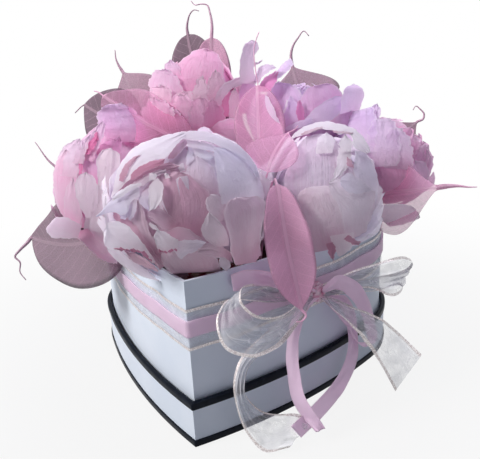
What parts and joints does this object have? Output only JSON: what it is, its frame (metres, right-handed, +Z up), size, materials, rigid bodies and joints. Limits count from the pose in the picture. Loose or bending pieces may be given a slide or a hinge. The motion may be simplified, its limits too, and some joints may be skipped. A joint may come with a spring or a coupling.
{
  "type": "flower box",
  "caption": "Heart-shaped card box standing in its own lid, tied with organza and satin ribbon and filled with peony flowers and skeleton leaves.",
  "frame": {"origin": "on the underside of the upturned lid, under the middle of the heart's width and depth", "axes": "+Z up, +X to the right as seen from the heart's point, -Y towards the heart's point"},
  "size_m": [0.2993, 0.217, 0.235],
  "materials": {
    "white_card": "smooth white paper wrap",
    "black_edging": "black edging tape with a soft shine",
    "organza": "sheer organza with metallic thread edges",
    "satin": "pale pink satin",
    "film": "dark wrapping film",
    "foam": "dark floral foam",
    "petal_pale": "preserved petals, pale pink to white",
    "petal_pink": "preserved petals, pink",
    "petal_lilac": "preserved petals, lilac pink",
    "stem": "dull green stem and sepals",
    "leaf_mauve": "skeleton leaf, dusty mauve",
    "leaf_pink": "skeleton leaf, pink"
  },
  "bodies": {
    "lid": {"lid_panel": "white_card", "lid_wall": "white_card", "lid_rim_trim": "black_edging", "lid_base_trim": "black_edging"},
    "box": {"box_wall": "white_card", "box_bottom": "white_card", "organza_band": "organza", "satin_band": "satin", "bow_knot": "satin", "organza_loop_left": "organza", "organza_loop_right": "organza", "organza_tail_left": "organza", "organza_tail_right": "organza", "satin_loop_left": "satin", "satin_loop_right": "satin", "satin_tail_left": "satin", "satin_tail_right": "satin"},
    "arrangement": {"foam_film": "film", "foam_block": "foam", "peony_front_bud": "petal_pale", "peony_front_petals": "petal_pale", "peony_front_stem": "stem", "peony_right_bud": "petal_pale", "peony_right_petals": "petal_pale", "peony_right_stem": "stem", "peony_left_bud": "petal_pink", "peony_left_petals": "petal_pink", "peony_left_stem": "stem", "peony_top_left_bud": "petal_pink", "peony_top_left_petals": "petal_pink", "peony_top_left_stem": "stem", "peony_top_right_bud": "petal_lilac", "peony_top_right_petals": "petal_lilac", "peony_top_right_stem": "stem", "peony_far_right_bud": "petal_pink", "peony_far_right_petals": "petal_pink", "peony_far_right_stem": "stem", "peony_rear_left_bud": "petal_pink", "peony_rear_left_petals": "petal_pink", "peony_rear_left_stem": "stem", "peony_rear_right_bud": "petal_lilac", "peony_rear_right_petals": "petal_lilac", "peony_rear_right_stem": "stem", "leaf_left_low": "leaf_mauve", "leaf_left_mid": "leaf_mauve", "leaf_left_high": "leaf_mauve", "leaf_upper_left": "leaf_mauve", "leaf_top_back": "leaf_mauve", "leaf_top": "leaf_mauve", "leaf_top_right": "leaf_mauve", "leaf_right_back": "leaf_mauve", "leaf_right": "leaf_pink", "leaf_front": "leaf_pink", "leaf_centre": "leaf_pink", "leaf_over_right": "leaf_pink", "leaf_over_back": "leaf_pink"}
  },
  "joints": [
    {"name": "box_lift", "type": "slide", "parent": "lid", "child": "box", "axis": [0, 0, 1], "range_m": [0, 0.06]},
    {"name": "insert_lift", "type": "slide", "parent": "box", "child": "arrangement", "axis": [0, 0, 1], "range_m": [0, 0.11]}
  ]
}
